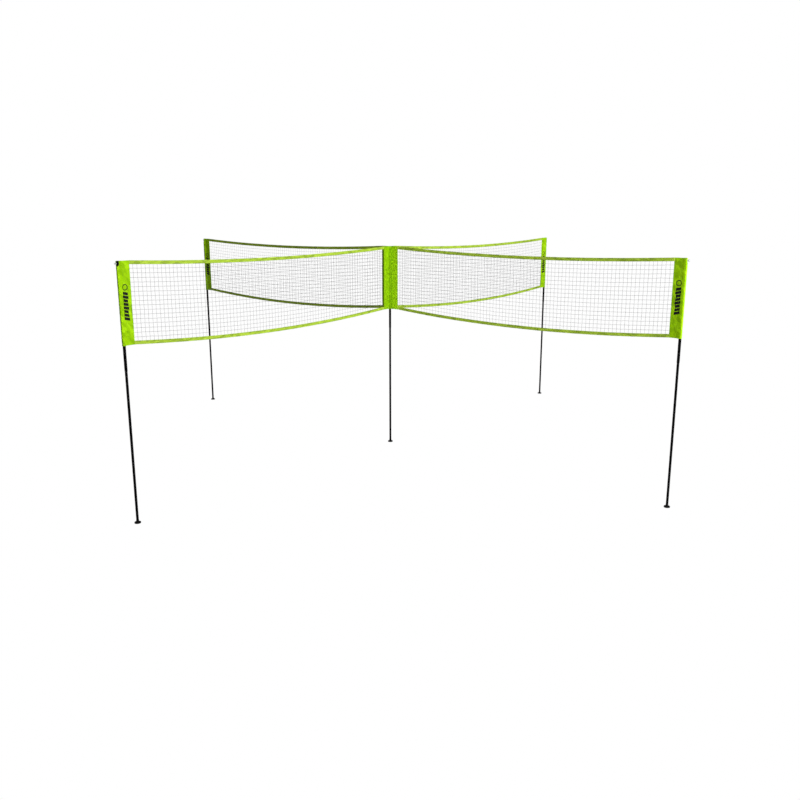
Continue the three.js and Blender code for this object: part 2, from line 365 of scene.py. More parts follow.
def add_node(tree, kind, links=None, values=None, operation=None):
    """A node with its inputs' links and values, both by input, and its operation if it has one."""
    made = tree.nodes.new(kind)
    if operation:
        made.operation = operation
    set_values(made, values or {})
    for socket, source in (links or {}).items():
        tree.links.new(source, made.inputs[socket])
    return made


def new_material(name, values=None):
    """A material, its node tree and its shader, with some of the shader's values set."""
    material = bpy.data.materials.new(name)
    material.use_nodes = True
    tree = material.node_tree
    shader = tree.nodes["Principled BSDF"]
    set_values(shader, values or {})
    return material, tree, shader


def object_point(tree):
    return add_node(tree, "ShaderNodeTexCoord").outputs["Object"]


def noise(tree, scale, detail=3, roughness=0.55, vector=None):
    made = add_node(tree, "ShaderNodeTexNoise", {"Vector": vector or object_point(tree)},
                    {"Scale": scale, "Detail": detail, "Roughness": roughness})
    return made.outputs["Fac"]


def ramp(tree, source, stops):
    """A colour ramp over source. stops lists (place, colour)."""
    made = add_node(tree, "ShaderNodeValToRGB", {"Fac": source})
    elements = made.color_ramp.elements
    while len(elements) < len(stops):
        elements.new(0.5)
    for element, (place, colour) in zip(elements, stops):
        element.position = place
        element.color = colour
    return made.outputs["Color"]


def tinted(tree, shader, scale, dark, light, light_from=0.7):
    """Gives a shader a base colour that drifts between two colours."""
    colour = ramp(tree, noise(tree, scale), [(0.3, dark), (light_from, light)])
    tree.links.new(colour, shader.inputs["Base Color"])


def roughened(tree, shader, scale, low, high):
    """Gives a shader a roughness that drifts between two values."""
    made = add_node(tree, "ShaderNodeMapRange", {"Value": noise(tree, scale)},
                    {"To Min": low, "To Max": high})
    tree.links.new(made.outputs["Result"], shader.inputs["Roughness"])


def bumped(tree, shader, height, strength, distance):
    made = add_node(tree, "ShaderNodeBump", {"Height": height},
                    {"Strength": strength, "Distance": distance})
    tree.links.new(made.outputs["Normal"], shader.inputs["Normal"])


def scaled(tree, value, factor):
    return add_node(tree, "ShaderNodeMath", {0: value}, {1: factor}, "MULTIPLY").outputs[0]


def along_and_up(tree):
    """The distance along whichever arm a point is on, and its height."""
    point = object_point(tree)
    along = add_node(tree, "ShaderNodeVectorMath", {0: point}, {1: (1, 1, 0)}, "DOT_PRODUCT")
    split = add_node(tree, "ShaderNodeSeparateXYZ", {"Vector": point})
    return along.outputs["Value"], split.outputs["Z"]


def weave_height(tree, period):
    """The height of a plain weave whose threads run up and along an arm."""
    waves = []
    for source in along_and_up(tree):
        turns = scaled(tree, source, 2 * math.pi / period)
        waves.append(add_node(tree, "ShaderNodeMath", {0: turns}, operation="SINE").outputs[0])
    crossed = add_node(tree, "ShaderNodeMath", dict(enumerate(waves)), operation="MULTIPLY")
    return crossed.outputs[0]


def print_tone(tree, patch_size, lean):
    """The tone, from 0 to 1, of a print of soft-edged patches. They lean from upright, by an
    angle, as the streaks of the cloth's pattern do. Half of the tone is finer noise."""
    width, length = patch_size
    along, up = along_and_up(tree)
    flat = add_node(tree, "ShaderNodeCombineXYZ", {"X": along, "Y": up}).outputs[0]
    wander = add_node(tree, "ShaderNodeTexNoise", {"Vector": flat}, {"Scale": 0.5 / width})
    shift = add_node(tree, "ShaderNodeVectorMath", {0: wander.outputs["Color"]},
                     {"Scale": 0.9 * width}, "SCALE")
    bent = add_node(tree, "ShaderNodeVectorMath", {0: flat, 1: shift.outputs[0]}, operation="ADD")
    leaning = add_node(tree, "ShaderNodeVectorRotate", {"Vector": bent.outputs[0]},
                       {"Angle": -lean})
    leaning.rotation_type = "Z_AXIS"
    stretched = add_node(tree, "ShaderNodeVectorMath", {0: leaning.outputs[0]},
                         {1: (1 / width, 1 / length, 0)}, "MULTIPLY").outputs[0]
    patches = add_node(tree, "ShaderNodeTexVoronoi", {"Vector": stretched}, {"Scale": 1})
    patches.feature = "SMOOTH_F1"
    set_values(patches, {"Smoothness": 0.25})
    split = add_node(tree, "ShaderNodeSeparateColor", {"Color": patches.outputs["Color"]})
    fine = noise(tree, 1.6, 4, 0.6, stretched)
    both = add_node(tree, "ShaderNodeMath", {0: split.outputs[0], 1: fine}, operation="ADD")
    return scaled(tree, both.outputs[0], 0.5)


# ---- materials


def printed_fabric(name, colours, thread_period, roughness, patch_size, lean=0):
    """Woven lime cloth with a tone-on-tone print. colours go from dark to light."""
    dark, middle, light = colours
    material, tree, shader = new_material(
        name, {"Specular IOR Level": 0.08, "Sheen Weight": 0.03, "Sheen Tint": light})
    tone = print_tone(tree, patch_size, lean)
    colour = ramp(tree, tone, [(0.3, dark), (0.46, middle), (0.58, middle), (0.74, light)])
    tree.links.new(colour, shader.inputs["Base Color"])
    roughened(tree, shader, 180, roughness - 0.06, roughness + 0.06)
    bumped(tree, shader, weave_height(tree, thread_period), 0.12, 0.15 * MM)
    return material


def powder_coat():
    """Matt black powder coat with its fine orange-peel skin."""
    material, tree, shader = new_material("powder_coat", {"Specular IOR Level": 0.04})
    tinted(tree, shader, 14, srgb(3, 3, 3), srgb(8, 8, 9), light_from=0.75)
    roughened(tree, shader, 90, 0.48, 0.6)
    bumped(tree, shader, noise(tree, 900, 2), 0.14, 0.1 * MM)
    return material


def moulded(name, dark, light, roughness, grain_scale):
    """Moulded rubber or plastic with a fine matt grain."""
    material, tree, shader = new_material(name, {"Specular IOR Level": 0.2})
    tinted(tree, shader, 40, dark, light)
    roughened(tree, shader, 200, roughness - 0.08, roughness + 0.08)
    bumped(tree, shader, noise(tree, grain_scale, 2), 0.3, 0.12 * MM)
    return material


def zinc_plate():
    """Zinc-plated steel with faint clouding."""
    material, tree, shader = new_material("zinc_plate", {"Metallic": 1})
    tinted(tree, shader, 120, srgb(150, 153, 158), srgb(196, 199, 203), light_from=0.75)
    roughened(tree, shader, 300, 0.24, 0.4)
    bumped(tree, shader, noise(tree, 1500, 2), 0.1, 0.05 * MM)
    return material


def twine():
    """Black knotted twine. Its strands are too fine to hold a pattern."""
    return new_material("twine", {"Base Color": srgb(35, 35, 38), "Roughness": 0.8})[0]


def screen_ink():
    """Black screen-print ink that lets a little of the weave show."""
    material, tree, shader = new_material(
        "screen_ink", {"Roughness": 0.6, "Specular IOR Level": 0.15})
    tinted(tree, shader, 260, srgb(8, 9, 8), srgb(20, 22, 18), light_from=0.8)
    bumped(tree, shader, weave_height(tree, BAND_THREAD), 0.2, 0.1 * MM)
    return material


def sewing_thread():
    material, tree, shader = new_material("sewing_thread", {"Roughness": 0.55})
    tinted(tree, shader, 50, srgb(112, 158, 12), srgb(140, 190, 24))
    return material


PRINT_LEAN = math.radians(28)
BAND_CLOTH = printed_fabric(
    "band_cloth", (srgb(140, 191, 0), srgb(159, 212, 0), srgb(177, 232, 14)),
    BAND_THREAD, 0.7, (22 * MM, 56 * MM), PRINT_LEAN)
# The inner bands and the centre sleeve wear a darker copy of the band cloth. Its darker colours
# are painted shade for the middle of the net, where the four panels meet. Its smaller patches are
# print.
INNER_CLOTH_PAINTED_SHADE = printed_fabric(
    "inner_band_cloth", (srgb(132, 180, 0), srgb(147, 198, 0), srgb(160, 213, 10)),
    BAND_THREAD, 0.7, (15 * MM, 26 * MM), PRINT_LEAN)
TAPE_CLOTH = printed_fabric(
    "tape_cloth", (srgb(144, 172, 52), srgb(170, 202, 60), srgb(190, 221, 74)),
    TAPE_THREAD, 0.75, (60 * MM, 16 * MM))
POWDER_COAT = powder_coat()
RUBBER = moulded("foot_rubber", srgb(9, 9, 9), srgb(17, 17, 17), 0.8, 700)
CAP_PLASTIC = moulded("cap_plastic", srgb(20, 20, 21), srgb(30, 30, 31), 0.55, 1100)
NYLON = moulded("plug_nylon", srgb(205, 205, 196), srgb(224, 224, 216), 0.5, 900)
ZINC = zinc_plate()
TWINE = twine()
INK = screen_ink()
THREAD = sewing_thread()

# ---- stitches


def stitches(places, along, out):
    """Short stitches at places, each lying along one unit direction and standing out by another.
    A stitch is a four-sided bar, and its pointed ends dip into the cloth."""
    sides = 4
    side = np.cross(out, along)
    points = []
    for reach, pointed in ((-0.5, True), (-0.36, False), (0.36, False), (0.5, True)):
        lift = 0.35 * THREAD_R * (-1.4 if pointed else 1)
        middle = places + along * (reach * STITCH) + out * lift
        if pointed:
            points.append(middle)
            continue
        for i in range(sides):
            angle = 2 * math.pi * (i + 0.5) / sides
            points.append(middle + (side * math.cos(angle) + out * math.sin(angle)) * THREAD_R)
    points = np.stack(points, axis=1)
    faces = []
    for i in range(sides):
        i2 = (i + 1) % sides
        faces.append((0, 1 + i2, 1 + i))
        faces.append((1 + i, 1 + i2, 1 + sides + i2, 1 + sides + i))
        faces.append((1 + sides + i, 1 + sides + i2, 1 + 2 * sides))
    return points.reshape(-1, 3), copied_faces(faces, points.shape[1], len(points))


def stitch_row(line, side):
    """Stitches spaced along a polyline that lies on side 1 or -1 of the net, facing +Y or -Y."""
    lengths = np.linalg.norm(np.diff(line, axis=0), axis=1)
    run = np.concatenate([[0], np.cumsum(lengths)])
    stops = np.arange(STITCH_STEP, run[-1] - STITCH_STEP / 2, STITCH_STEP)

    def at(distances):
        return np.stack([np.interp(distances, run, line[:, i]) for i in range(3)], axis=1)

    places = at(stops)
    along = at(stops + STITCH_STEP / 8) - places
    along /= np.linalg.norm(along, axis=1)[:, None]
    return stitches(places, along, np.tile([0.0, side, 0.0], (len(places), 1)))


# ---- the hanging net


def hang(along, end_z, sag):
    """The height of a line that hangs between the bands in a parabola."""
    share = np.clip((along - SPAN_START) / SPAN, 0, 1)
    return end_z - sag * 4 * share * (1 - share)


def top_line(along):
    return hang(along, NET_TOP - TAPE_WIDTH / 2, TOP_SAG)


def bottom_line(along):
    return hang(along, NET_BOTTOM + TAPE_WIDTH / 2, BOTTOM_SAG)


def sway(along, share, seed):
    """How far the net stands out of its plane. share is 0 at the bottom tape and 1 at the top."""
    fade = 0.3
    ends = smoothstep(along, SPAN_START, SPAN_START + fade)
    ends = ends * (1 - smoothstep(along, SPAN_END - fade, SPAN_END))
    return ripples(along, share * 0.4, 1.1, seed) * 2.2 * MM * ends


def netting_shape(seed):
    """Knotted square mesh: upright twines, level twines that follow the sag, and a knot where
    they meet."""
    rng = np.random.default_rng(seed)
    start = SPAN_START - SEWN_IN
    end = SPAN_END + SEWN_IN
    columns = round((end - start) / MESH_PITCH)
    across = np.linspace(start, end, columns + 1)
    shares = np.linspace(0, 1, MESH_ROWS + 1)
    x, share = np.meshgrid(across, shares, indexing="ij")
    low = bottom_line(x) + TAPE_WIDTH / 2 - SELVEDGE
    high = top_line(x) - TAPE_WIDTH / 2 + SELVEDGE
    z = low + (high - low) * share
    inside = np.zeros_like(x)
    inside[1:-1, 1:-1] = 1
    x = x + inside * rng.normal(0, 0.9 * MM, x.shape)
    z = z + inside * rng.normal(0, 0.8 * MM, x.shape)
    y = sway(x, share, seed) + inside * rng.normal(0, 0.35 * MM, x.shape)
    knots = grid_of(x, y, z)
    strand = oval(TWINE_HALF_WIDTH, TWINE_HALF_DEPTH, 6)
    shapes = []
    for lines, broad in ((knots, (1, 0, 0)), (knots.swapaxes(0, 1), (0, 0, 1))):
        for line in lines:
            path = slack_line(line, rng, np.add(broad, (0, 0.4, 0)))
            shapes.append(swept(path, strand, broad, (0, 1, 0)))
    shapes.append(copies(ball(KNOT_R), knots.reshape(-1, 3)))
    return joined(shapes)


def slack_line(knots, rng, way):
    """A line through the knots, with a slightly bowed point halfway along each mesh."""
    middles = (knots[1:] + knots[:-1]) / 2
    middles = middles + rng.normal(0, 0.45 * MM, middles.shape) * way
    path = np.empty((2 * len(knots) - 1, 3))
    path[0::2] = knots
    path[1::2] = middles
    return path


def tape_section(fold):
    """A webbing folded over the netting's edge, as (across, up) pairs round the outside and back
    round the inside. fold is 1 where the fold is at the top and -1 at the bottom."""
    half = TAPE_WIDTH / 2
    straight = np.linspace(-half, half - TAPE_HALF, 6)
    bend = [math.pi * i / 8 for i in range(1, 8)]
    section = []
    for radius, way in ((TAPE_HALF, -1), (TAPE_HALF - FABRIC, 1)):
        section += [(way * radius, h) for h in straight]
        section += [
            (way * radius * math.cos(a), half - TAPE_HALF + radius * math.sin(a)) for a in bend]
        section += [(-way * radius, h) for h in straight[::-1]]
    return [(a, h * fold) for a, h in section]


# line is the height of a tape's middle, fold is as in tape_section, and share is as in sway.
Tape = namedtuple("Tape", "name line fold share seed")


def on_tape(along, across, height, tape):
    """Points on a tape, by their place along the net, across it and up from the tape's middle.
    The stitching pulls small gathers into the tape."""
    gathers = ripples(along, height, 0.055, tape.seed + 1, tilt=0.6 * math.pi) * 0.28 * MM
    waver = ripples(along, 0, 0.16, tape.seed + 2) * 0.25 * MM
    y = across + sway(along, tape.share, tape.seed) + gathers
    z = tape.line(along) + height + waver
    return grid_of(along, y, z)


def tape_shape(tape):
    along = np.linspace(SPAN_START - SEWN_IN, SPAN_END + SEWN_IN, 260)
    section = np.array(tape_section(tape.fold))
    points = on_tape(along[:, None], section[None, :, 0], section[None, :, 1], tape)
    return points.reshape(-1, 3), bar_faces(len(along), len(section))


def tape_stitches(tape):
    """One row along a tape's open edge, on both of its faces."""
    along = np.linspace(SPAN_START, SPAN_END, 600)
    height = -tape.fold * (TAPE_WIDTH / 2 - 5 * MM)
    return joined([
        stitch_row(on_tape(along, side * TAPE_HALF, height, tape), side) for side in (-1, 1)])


# ---- bands and sleeves


def from_edge(height):
    """How far a height is from the nearer edge of a band."""
    return np.minimum(height - NET_BOTTOM, NET_TOP - height)


def band_levels():
    """Heights of the rows of points on a band, closer together at its hems."""
    body = np.linspace(NET_BOTTOM + PLAIN_START, NET_TOP - PLAIN_START, 84)
    return np.concatenate([NET_BOTTOM + HEM_ROWS, body, (NET_TOP - HEM_ROWS)[::-1]])


def hem_rise(height):
    """How much thicker a band is where its top and bottom edges are turned over and sewn."""
    return HEM_RISE * (1 - smoothstep(from_edge(height), HEM - 1 * MM, HEM + 1 * MM))


def edge_draw(height):
    """How far a band's faces draw in at its very edge."""
    return 0.35 * MM * (1 - smoothstep(from_edge(height), 0, 1.2 * MM))


def edges_drawn(outer):
    """A band's outside with its faces drawn in at its top and bottom edges."""
    drawn = outer.copy()
    drawn[..., 1] -= np.sign(outer[..., 1]) * edge_draw(outer[..., 2])
    return drawn


def drawn_in(outer):
    """The inside of a cloth: each point moved in by its thickness, square to the outline, which
    runs anticlockwise."""
    ahead = np.roll(outer, -1, axis=0) - np.roll(outer, 1, axis=0)
    normal = np.stack([ahead[..., 1], -ahead[..., 0]], axis=-1)
    normal /= np.maximum(np.linalg.norm(normal, axis=-1), 1e-9)[..., None]
    inner = outer.copy()
    inner[..., :2] -= normal * FABRIC
    return inner


def closed_cloth(outer, open_from=None):
    """Cloth whose outside is a grid of points, indexed [round, up, xyz]. It closes on itself all
    the way round, but from row open_from upwards it has a slit between its last and first
    columns."""
    columns, rows = outer.shape[:2]
    count = columns * rows
    last = count - rows
    faces = []

    def close(i, j):
        """Joins the outside to the inside between two points."""
        faces.append((i, j, j + count, i + count))

    for i in range(0, count, rows):
        j = (i + rows) % count
        slit_here = i == last and open_from is not None
        for row in range(open_from if slit_here else rows - 1):
            for k in (row, row + count):
                faces.append((i + k, j + k, j + k + 1, i + k + 1))
        close(i, j)
        if not slit_here:
            close(i + rows - 1, j + rows - 1)
    if open_from is not None:
        for i in (0, last):
            for row in range(open_from, rows - 1):
                close(i + row, i + row + 1)
        close(open_from, last + open_from)
    return np.concatenate([outer.reshape(-1, 3), drawn_in(outer).reshape(-1, 3)]), faces


def folded_edge(first, last, way):
    """Three rows of points round the fold between a band's two faces. way is 1 or -1, along x."""
    middle = (first + last) / 2
    half = (first - last) / 2
    reach = np.abs(half[:, 1])
    rows = []
    for angle in (math.pi / 4, math.pi / 2, math.pi * 3 / 4):
        row = middle + half * math.cos(angle)
        row[:, 0] += way * reach * math.sin(angle)
        rows.append(row)
    return np.array(rows)


def billow(x, z, seed, rise, quick_length):
    """How far both layers of a band stand out of the net's plane together."""
    slow = ripples(x, z, 0.26, seed) * rise
    quick = ripples(x, z, quick_length, seed + 1) * 0.35 * MM
    return slow + quick


def puff(x, start, end, rise):
    """How far a band's faces stand apart between two seams."""
    return np.sin(math.pi * np.clip((x - start) / (end - start), 0, 1)) * rise


def band_stitches(face, seed, seams, hem_start, hem_end, reach=0):
    """Rows of stitches on both faces of a band: up it at each seam, and along its two hems.
    face gives a face's place across, and x = 0 is at reach from the centre pole."""
    levels = np.linspace(NET_BOTTOM + 6 * MM, NET_TOP - 6 * MM, 150)
    hem = np.linspace(hem_start, hem_end, 60)
    hem_inset = HEM - 2 * MM
    lines = [(np.full_like(levels, x), levels) for x in seams]
    lines += [(hem, np.full_like(hem, z)) for z in (NET_BOTTOM + hem_inset, NET_TOP - hem_inset)]
    rows = []
    for side in (-1, 1):
        for x, z in lines:
            rows.append(stitch_row(grid_of(x + reach, face(x, z, side, seed), z), side))
    return joined(rows)


# The outer band is made about its pole's axis. Its free edge is at -OUTER_REACH, and the net is
# on that side.


def sleeve_reach(angle):
    """From the pole's axis to the sleeve, whose section is a square with well-rounded corners."""
    power = SLEEVE_SQUARENESS
    corner = np.abs(np.cos(angle)) ** power + np.abs(np.sin(angle)) ** power
    return SLEEVE_R / corner ** (1 / power)


# The sleeve's sides leave its section where they point straight at the seam.
HALF_TURN = np.linspace(0, math.pi, 400)
SECTION_X = sleeve_reach(HALF_TURN) * np.cos(HALF_TURN)
SECTION_Y = sleeve_reach(HALF_TURN) * np.sin(HALF_TURN)
WRAP_STEP = int(np.argmax(SECTION_Y / (SECTION_X + SLEEVE_SEAM + 1 * MM)))
WRAP_END = HALF_TURN[WRAP_STEP]
WRAP_END_X = SECTION_X[WRAP_STEP]
WRAP_END_Y = SECTION_Y[WRAP_STEP]


def outer_side(x, z, side, seed):
    """Across-coordinate of the outer band's face at x beside the pole, on side 1 or -1. It billows
    more away from the pole."""
    lean = np.clip((x - WRAP_END_X) / (-SLEEVE_SEAM - WRAP_END_X), 0, 1)
    plain = WRAP_END_Y + (BAND_HALF - WRAP_END_Y) * lean
    apart = puff(x, -SLEEVE_SEAM, -OUTER_REACH + HEM, 0.45 * MM)
    away = 1 - smoothstep(x, -60 * MM, -12 * MM)
    drift = billow(x, z, seed, 1.3 * MM, 75 * MM) * away
    return side * (plain + apart + outer_bulge(x, z, seed) + hem_rise(z)) + drift


def outer_bulge(x, z, seed):
    """Creases where the sleeve is drawn round the pole, mostly level."""
    near = smoothstep(x, -70 * MM, -20 * MM)
    return ripples(x, z, 0.05, seed + 2, tilt=0.5 * math.pi) * 0.42 * MM * near


def notch_angle(z, side):
    """Where the cut-out's edge is at each height, as an angle round the pole from straight out.
    It is deep on side 1. On side -1 it is half of an eyelet for the eye bolt."""
    if side == 1:
        share = (z - NOTCH_MIDDLE) / NOTCH_HALF_HEIGHT
        depth = np.sqrt(np.clip(1 - share ** 2, 0, 1)) * NOTCH_DEPTH
        return np.interp(SLEEVE_R - depth, SECTION_X[::-1], HALF_TURN[::-1]) * (depth > 0)
    half_width = np.sqrt(np.clip(EYELET_R ** 2 - (z - EYE_Z) ** 2, 0, None))
    return np.arctan(half_width / SLEEVE_R)


def outer_band_grid(levels, seed):
    """The outer band's outside face as a grid, from the notch's edge round to its other edge."""
    z = levels[None, :]
    steps = np.linspace(0, 1, 21)[:, None]
    stations = np.concatenate([
        np.linspace(WRAP_END_X, -SLEEVE_SEAM, 7)[1:],
        np.linspace(-SLEEVE_SEAM, -OUTER_REACH + HEM + 1 * MM, 12)[1:],
        np.linspace(-OUTER_REACH + HEM - 1 * MM, -OUTER_REACH + BAND_HALF, 5),
    ])
    flat_x = np.repeat(stations[:, None], len(levels), axis=1)
    halves = []
    for side in (1, -1):
        start = notch_angle(z, side)
        angle = start + (WRAP_END - start) * steps
        radius = sleeve_reach(angle) + outer_bulge(SLEEVE_R * np.cos(angle), z, seed) + hem_rise(z)
        x = np.concatenate([radius * np.cos(angle), flat_x])
        y = np.concatenate([side * radius * np.sin(angle), outer_side(flat_x, z, side, seed)])
        halves.append(grid_of(x, y, z))
    left, right = halves
    return np.concatenate([left, folded_edge(left[-1], right[-1], -1), right[::-1]])


def outer_band_shape(seed):
    notch_foot = NOTCH_MIDDLE - NOTCH_HALF_HEIGHT
    levels = band_levels()
    levels[np.argmin(np.abs(levels - notch_foot))] = notch_foot
    foot_steps = notch_foot + np.array([0.5, 1.5, 3, 5.5]) * MM
    eyelet_steps = EYE_Z + EYELET_R * np.cos(np.linspace(0, math.pi, 11))
    levels = np.unique(np.concatenate([levels, foot_steps, eyelet_steps]))
    levels = levels[np.concatenate([[True], np.diff(levels) > 0.2 * MM])]
    outer = edges_drawn(outer_band_grid(levels, seed))
    slit = int(np.argmin(np.abs(levels - notch_foot)))
    return moved_out(closed_cloth(outer, open_from=slit), ARM_LENGTH)


def outer_band_stitches(seed):
    seams = (-SLEEVE_SEAM, -SLEEVE_SEAM - 5 * MM, -OUTER_REACH + HEM, -OUTER_REACH + 4 * MM)
    hem_end = -OUTER_REACH + 3 * MM
    return band_stitches(outer_side, seed, seams, WRAP_END_X - 4 * MM, hem_end, ARM_LENGTH)


# The inner band is made from the centre sleeve to its free edge.


def inner_side(x, z, side, seed):
    apart = puff(x, SLEEVE_R + 1 * MM, INNER_REACH - HEM, 0.4 * MM)
    away = smoothstep(x, 20 * MM, 60 * MM)
    drift = billow(x, z, seed, 1.2 * MM, 70 * MM) * away
    return side * (BAND_HALF + apart + hem_rise(z)) + drift


def inner_band_shape(seed):
    levels = band_levels()
    z = levels[None, :]
    stations = np.concatenate([
        np.linspace(SLEEVE_R + 0.6 * MM + BAND_HALF, INNER_REACH - HEM - 1 * MM, 14),
        np.linspace(INNER_REACH - HEM + 1 * MM, INNER_REACH - BAND_HALF, 5),
    ])
    x = np.repeat(stations[:, None], len(levels), axis=1)
    left, right = [grid_of(x, inner_side(x, z, side, seed), z) for side in (1, -1)]
    free_edge = folded_edge(right[-1], left[-1], 1)
    root_edge = folded_edge(left[0], right[0], -1)
    outer = np.concatenate([right, free_edge, left[::-1], root_edge])
    return closed_cloth(edges_drawn(outer))


def inner_band_stitches(seed):
    seams = (26 * MM, INNER_REACH - HEM, INNER_REACH - 4 * MM)
    return band_stitches(inner_side, seed, seams, 20 * MM, INNER_REACH - 3 * MM)


def centre_sleeve_shape():
    """The tube of cloth round the centre pole that the four inner bands are sewn to."""
    angle = full_turn(48)[:, None]
    z = band_levels()[None, :]
    creases = ripples(SLEEVE_R * np.sin(angle), z, 0.05, 77, tilt=0.4 * math.pi) * 0.25 * MM
    radius = SLEEVE_R - 0.3 * MM + creases + hem_rise(z) * 0.6 - edge_draw(z)
    return closed_cloth(grid_of(radius * np.cos(angle), radius * np.sin(angle), z))


# ---- the plain mark on outer bands

MARK_MIDDLE = -49 * MM
MARK_TOP = NET_TOP - 205 * MM
MARK_BARS = 8
MARK_WIDTH = 58 * MM
MARK_PITCH = 32 * MM
MARK_BAR = 26 * MM
MARK_GAP = 14 * MM  # between the ring and the bars
MARK_LEAN = 14 * MM
MARK_RING_R = 28 * MM
MARK_RING_LINE = 8 * MM
INK_THICKNESS = 0.25 * MM


def ink_patch(x, z, side, seed, closed=False):
    """A thin layer of ink over a grid of (x, z) places on one face of the outer band."""
    rows, columns = x.shape
    face = outer_side(x, z, side, seed)
    layers = [grid_of(x + ARM_LENGTH, face + side * lift, z).reshape(-1, 3)
              for lift in (-0.1 * MM, INK_THICKNESS)]
    count = rows * columns
    faces = []
    for corners in grid_faces(rows, columns, wrap_rows=closed):
        faces.append(corners)
        faces.append(tuple(i + count for i in corners[::-1]))
    places = np.arange(count).reshape(rows, columns)
    borders = [places[:, 0], places[:, -1]]
    if closed:
        borders = [np.append(run, run[0]) for run in borders]
    else:
        borders += [places[0], places[-1]]
    for run in borders:
        for i, j in zip(run[:-1].tolist(), run[1:].tolist()):
            faces.append((i, j, j + count, i + count))
    return np.concatenate(layers), faces


def mark_shape(seed):
    """A plain ring over a column of leaning bars, on both faces of the band."""
    ring_z = MARK_TOP - MARK_RING_R
    bars_top = MARK_TOP - 2 * MARK_RING_R - MARK_GAP
    angle = full_turn(40)[:, None]
    radius = np.linspace(MARK_RING_R - MARK_RING_LINE, MARK_RING_R, 3)[None, :]
    shapes = []
    for side in (-1, 1):
        for bar in range(MARK_BARS):
            low = bars_top - MARK_BAR - bar * MARK_PITCH
            inset = (4 * MM, 0, 7 * MM)[bar % 3]
            x = np.linspace(-MARK_WIDTH / 2 + inset, MARK_WIDTH / 2 - inset / 2, 12)[:, None]
            up = np.linspace(0, MARK_BAR, 5)[None, :]
            z = low + up + MARK_LEAN * (x / MARK_WIDTH)
            shapes.append(ink_patch(MARK_MIDDLE + x + 0 * up, z, side, seed))
        x = MARK_MIDDLE + radius * np.cos(angle)
        z = ring_z + radius * np.sin(angle)
        shapes.append(ink_patch(x, z, side, seed, closed=True))
    return joined(shapes)


# ---- pole pieces, about their own axis


def upper_tube_shape():
    return turned(rounded_tube(UPPER_R, UPPER_R - UPPER_WALL, UPPER_BOTTOM, UPPER_TOP))


def middle_tube_shape():
    """The tube is swaged down to its spigot over a short taper."""
    spigot = LOWER_R - LOWER_WALL - SLIDING_GAP
    bore = spigot - MIDDLE_WALL
    shoulder = SECTION_JOINT + SLIDING_GAP
    edge = TUBE_EDGE
    return turned([
        (bore, SPIGOT_BOTTOM), (spigot - edge, SPIGOT_BOTTOM), (spigot, SPIGOT_BOTTOM + edge),
        (spigot, shoulder), (LOWER_R - edge, shoulder),
        (LOWER_R - edge * 0.3, shoulder + edge * 0.3), (LOWER_R, shoulder + edge),
        (LOWER_R, MIDDLE_TOP - edge), (LOWER_R - edge, MIDDLE_TOP),
        (LOWER_R - MIDDLE_WALL, MIDDLE_TOP), (LOWER_R - MIDDLE_WALL, shoulder + 6 * MM),
        (bore, shoulder + 3 * MM),
    ])


def lower_tube_shape():
    return turned(rounded_tube(LOWER_R, LOWER_R - LOWER_WALL, LOWER_BOTTOM, SECTION_JOINT))


def button_hole_shape():
    path = np.array([[4 * MM, 0, BUTTON_Z], [LOWER_R + 6 * MM, 0, BUTTON_Z]])
    radius = BUTTON_R + HOLE_CLEARANCE
    return swept(path, oval(radius, radius, 32), (0, 1, 0), (0, 0, 1))


def button_shape():
    back = COLLAR_FACE - COLLAR_DEPTH
    collar = [(0, back), (COLLAR_R, back), (COLLAR_R, COLLAR_FACE), (BUTTON_R, COLLAR_FACE)]
    dome = [
        (BUTTON_R * math.cos(a), BUTTON_TIP - BUTTON_DOME + BUTTON_DOME * math.sin(a))
        for a in np.linspace(0, math.pi / 2, 7)[:-1]
    ]
    return turned_along_x(collar + dome + [(0, BUTTON_TIP)], BUTTON_Z)


def foot_shape():
    """A thick rubber disc with a raised rim, and a slim socket stiffened by low gussets."""
    rim = FOOT_R / MM
    disc = FOOT_DISC / MM
    socket = SOCKET_R / MM
    wall = SOCKET_OUTER_R / MM
    top = FOOT_TOP / MM
    body = turned(in_mm([
        (0, 0), (rim - 2.2, 0), (rim - 0.7, 0.5), (rim, 1.8), (rim, 4), (rim - 0.6, 4.6),
        (rim - 0.6, 5.6), (rim, 6.2), (rim, disc - 2), (rim - 0.6, disc - 0.7),
        (rim - 2, disc - 0.1), (rim - 4, disc - 0.5), (rim - 5, disc - 1.8),
        (wall + 2, disc - 1.6), (wall + 0.6, disc - 0.6), (wall, disc + 1.2),
        (wall - 0.3, top - 3), (wall, top - 2.4), (wall, top - 0.8), (wall - 0.6, top),
        (socket + 0.3, top), (socket, top - 0.4), (socket, disc + 0.2), (0, disc + 0.2),
    ]), 64)
    gusset = in_mm([
        (wall - 1, disc - 2.5), (rim - 5.6, disc - 2.5), (rim - 6, disc - 0.8),
        (wall + 2, disc + 0.6), (wall - 1, disc + 3),
    ])
    shapes = [body]
    for i in range(GUSSETS):
        angle = 2 * math.pi * (i + 0.5) / GUSSETS
        outward = (math.cos(angle), math.sin(angle), 0)
        side = np.array([-math.sin(angle), math.cos(angle), 0]) * GUSSET_HALF
        shapes.append(swept(np.array([-side, side]), gusset, outward, (0, 0, 1)))
    return joined(shapes)


def top_cap_shape():
    outer = UPPER_R / MM
    plug = (UPPER_R - UPPER_WALL) / MM - 0.2
    low = CAP_BOTTOM / MM
    flange = (UPPER_TOP + SLIDING_GAP) / MM
    top = NET_TOP / MM
    return turned(in_mm([
        (0, low), (plug - 0.6, low), (plug, low + 0.8), (plug, flange), (outer - 0.2, flange),
        (outer, flange + 0.3), (outer, top - 2.4), (outer - 0.5, top - 1.1),
        (outer - 1.6, top - 0.3), (outer - 3, top), (5, top), (4.4, top - 0.7), (0, top - 0.7),
    ]))


